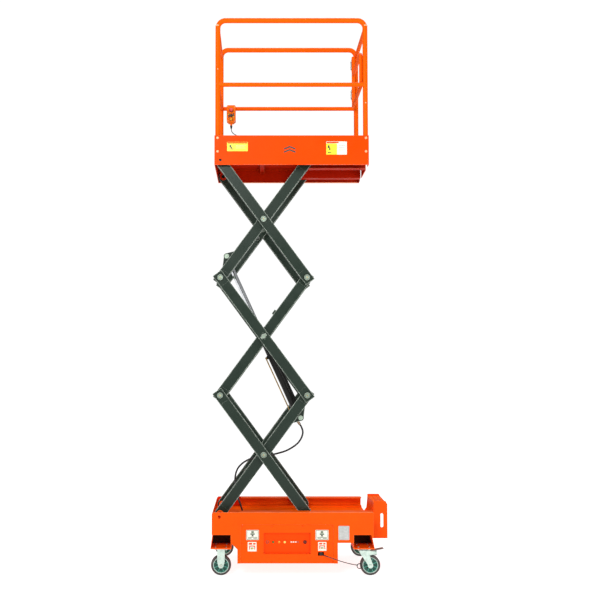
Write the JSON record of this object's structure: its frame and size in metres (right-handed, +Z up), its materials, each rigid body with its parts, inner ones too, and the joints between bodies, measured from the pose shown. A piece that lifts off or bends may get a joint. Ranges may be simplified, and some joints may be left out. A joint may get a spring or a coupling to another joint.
{
  "type": "mobile scissor lift work platform",
  "caption": "Push-around scissor lift: wheeled steel base with step, stacked crossed arms with a hydraulic cylinder, and a platform with toe boards, guard rails, gate and handset.",
  "frame": {"origin": "middle of the footprint on the floor", "axes": "+X towards the entry end with the step, -Y towards the side with the indicator panel, +Z up"},
  "size_m": [1.336, 0.8045, 4.2253],
  "materials": {
    "orange_paint": "satin powder coat, slight orange peel",
    "green_paint": "satin dark green-grey coat",
    "zinc": "bright zinc plating",
    "chrome_rod": "hard chrome",
    "black_paint": "semi-gloss black",
    "rubber_black": "smooth matt rubber",
    "tyre": "worn dark brown-grey polyurethane",
    "deck_plate": "raised-tread plate",
    "roller_nylon": "cast nylon",
    "brass": "lightly tarnished",
    "black_plastic": "moulded",
    "orange_plastic": "moulded",
    "red_plastic": "moulded",
    "yellow_plastic": "moulded",
    "lamp_lens": "tinted lens",
    "grey_cable": "matt PVC",
    "wheel_green": "moulded"
  },
  "bodies": {
    "base": {"chassis_side_near": "orange_paint", "chassis_side_far": "orange_paint", "chassis_tray": "orange_paint", "lower_box_pan": "orange_paint", "box_cover_near": "orange_paint", "box_cover_far": "orange_paint", "indicator_panel": "orange_paint", "panel_fittings": "lamp_lens", "caster_brackets": "orange_paint", "rigid_caster_forks": "zinc", "swivel_caster_plates": "zinc", "caster_fasteners": "zinc", "base_pivot_pins": "zinc", "battery": "black_plastic", "pump_motor": "black_paint", "oil_tank": "black_paint", "valve_block": "zinc", "battery_charger": "black_plastic", "step_bracket": "orange_paint"},
    "release_pull": {"pull_cable": "rubber_black", "pull_ring": "zinc"},
    "inner_lower": {"inner_arms_lower": "green_paint", "pins_inner_lower": "zinc", "hydraulic_hose": "rubber_black"},
    "outer_lower": {"outer_arms_lower": "green_paint", "pins_outer_lower": "zinc"},
    "outer_middle": {"outer_arms_middle": "green_paint", "pins_outer_middle": "zinc"},
    "inner_middle": {"inner_arms_middle": "green_paint", "pins_inner_middle": "zinc"},
    "inner_upper": {"inner_arms_upper": "green_paint", "pins_inner_upper": "zinc"},
    "outer_upper": {"outer_arms_upper": "green_paint", "pins_outer_upper": "zinc"},
    "platform": {"platform_deck": "deck_plate", "toe_boards": "orange_paint", "platform_beams": "orange_paint", "guard_rails": "orange_paint", "platform_fittings": "zinc", "handset": "orange_plastic", "handset_cable": "grey_cable"},
    "base_roller_set": {"base_rollers": "roller_nylon"},
    "platform_roller_set": {"platform_rollers": "roller_nylon"},
    "barrel": {"cylinder_barrel": "black_paint", "transfer_pipe": "brass"},
    "rod": {"cylinder_rod": "chrome_rod"},
    "rod_end": {"rod_eye": "black_paint"},
    "gate": {"gate": "orange_paint"},
    "stop_button": {"handset_stop": "red_plastic"},
    "up_button": {"handset_up": "black_plastic"},
    "down_button": {"handset_down": "yellow_plastic"},
    "wheel_rigid_near": {"rigid_wheel_near": "tyre"},
    "wheel_rigid_far": {"rigid_wheel_far": "tyre"},
    "fork_near": {"swivel_fork_near": "zinc"},
    "fork_far": {"swivel_fork_far": "zinc"},
    "wheel_swivel_near": {"swivel_wheel_near": "tyre"},
    "wheel_swivel_far": {"swivel_wheel_far": "tyre"},
    "pedal_near": {"brake_pedal_near": "zinc"},
    "pedal_far": {"brake_pedal_far": "zinc"}
  },
  "joints": [
    {"name": "lift", "type": "hinge", "parent": "base", "child": "inner_lower", "pos_m": [-0.605, 0, 0.438], "axis": [0, -1, 0], "range_deg": [-48.6, 0], "deforming": ["hydraulic_hose"]},
    {"name": "lower_crossing", "type": "hinge", "parent": "inner_lower", "child": "outer_lower", "pos_m": [-0.27565, 0, 0.88472], "axis": [0, -1, 0], "range_deg": [0, 97.2]},
    {"name": "right_link_lower", "type": "hinge", "parent": "inner_lower", "child": "outer_middle", "pos_m": [0.05369, 0, 1.33143], "axis": [0, -1, 0], "range_deg": [0, 97.2]},
    {"name": "middle_crossing", "type": "hinge", "parent": "outer_middle", "child": "inner_middle", "pos_m": [-0.27565, 0, 1.77815], "axis": [0, -1, 0], "range_deg": [-97.2, 0]},
    {"name": "left_link_upper", "type": "hinge", "parent": "outer_middle", "child": "inner_upper", "pos_m": [-0.605, 0, 2.22486], "axis": [0, -1, 0], "range_deg": [-97.2, 0]},
    {"name": "upper_crossing", "type": "hinge", "parent": "inner_upper", "child": "outer_upper", "pos_m": [-0.27565, 0, 2.67158], "axis": [0, -1, 0], "range_deg": [0, 97.2]},
    {"name": "platform_pivot", "type": "hinge", "parent": "outer_upper", "child": "platform", "pos_m": [-0.605, 0, 3.1183], "axis": [0, -1, 0], "range_deg": [-48.6, 0]},
    {"name": "base_roller_spin", "type": "hinge", "parent": "outer_lower", "child": "base_roller_set", "pos_m": [0.05369, 0, 0.438], "axis": [0, 1, 0], "continuous": true},
    {"name": "platform_roller_spin", "type": "hinge", "parent": "inner_upper", "child": "platform_roller_set", "pos_m": [0.05369, 0, 3.1183], "axis": [0, 1, 0], "continuous": true},
    {"name": "barrel_pivot", "type": "hinge", "parent": "inner_lower", "child": "barrel", "pos_m": [0.00772, 0, 1.15785], "axis": [0, -1, 0], "range_deg": [0, 95.9]},
    {"name": "rod_stroke", "type": "slide", "parent": "barrel", "child": "rod", "axis": [-0.4155, 0, 0.9096], "range_m": [-0.54776, 0]},
    {"name": "rod_end_pivot", "type": "hinge", "parent": "inner_upper", "child": "rod_end", "pos_m": [-0.55902, 0, 2.39845], "axis": [0, -1, 0], "range_deg": [0, 95.9]},
    {"name": "rigid_wheel_near_spin", "type": "hinge", "parent": "base", "child": "wheel_rigid_near", "pos_m": [-0.593, -0.29, 0.075], "axis": [0, 1, 0], "continuous": true},
    {"name": "swivel_near", "type": "hinge", "parent": "base", "child": "fork_near", "pos_m": [0.464, -0.29, 0.19], "axis": [0, 0, 1], "continuous": true},
    {"name": "swivel_wheel_near_spin", "type": "hinge", "parent": "fork_near", "child": "wheel_swivel_near", "pos_m": [0.516, -0.29, 0.075], "axis": [0, 1, 0], "continuous": true},
    {"name": "brake_near", "type": "hinge", "parent": "fork_near", "child": "pedal_near", "pos_m": [0.526, -0.29, 0.172], "axis": [0, 1, 0], "range_deg": [0, 8]},
    {"name": "rigid_wheel_far_spin", "type": "hinge", "parent": "base", "child": "wheel_rigid_far", "pos_m": [-0.593, 0.29, 0.075], "axis": [0, 1, 0], "continuous": true},
    {"name": "swivel_far", "type": "hinge", "parent": "base", "child": "fork_far", "pos_m": [0.464, 0.29, 0.19], "axis": [0, 0, 1], "continuous": true},
    {"name": "swivel_wheel_far_spin", "type": "hinge", "parent": "fork_far", "child": "wheel_swivel_far", "pos_m": [0.516, 0.29, 0.075], "axis": [0, 1, 0], "continuous": true},
    {"name": "brake_far", "type": "hinge", "parent": "fork_far", "child": "pedal_far", "pos_m": [0.526, 0.29, 0.172], "axis": [0, 1, 0], "range_deg": [0, 8]},
    {"name": "gate_swing", "type": "hinge", "parent": "platform", "child": "gate", "pos_m": [0.474, 0.2398, 3.9003], "axis": [0, 0, 1], "range_deg": [-90, 0], "stiffness_Nm_per_rad": 4},
    {"name": "stop_press", "type": "slide", "parent": "platform", "child": "stop_button", "axis": [0, 1, 0], "range_m": [0, 0.0038], "stiffness_N_per_m": 800},
    {"name": "up_press", "type": "slide", "parent": "platform", "child": "up_button", "axis": [0, 1, 0], "range_m": [0, 0.0038], "stiffness_N_per_m": 800},
    {"name": "down_press", "type": "slide", "parent": "platform", "child": "down_button", "axis": [0, 1, 0], "range_m": [0, 0.0038], "stiffness_N_per_m": 800},
    {"name": "release_pull_out", "type": "slide", "parent": "base", "child": "release_pull", "axis": [0.3308, -0.9372, -0.1103], "range_m": [0, 0.012], "stiffness_N_per_m": 400}
  ],
  "couplings": [
    {"joint": "lower_crossing", "follows": "lift", "ratio": -2},
    {"joint": "right_link_lower", "follows": "lift", "ratio": -2},
    {"joint": "middle_crossing", "follows": "lift", "ratio": 2},
    {"joint": "left_link_upper", "follows": "lift", "ratio": 2},
    {"joint": "upper_crossing", "follows": "lift", "ratio": -2},
    {"joint": "platform_pivot", "follows": "lift", "ratio": 1},
    {"joint": "barrel_pivot", "follows": "lift", "ratio": -1.973},
    {"joint": "rod_stroke", "follows": "lift", "m_per_rad": 0.64574},
    {"joint": "rod_end_pivot", "follows": "lift", "ratio": -1.973}
  ]
}
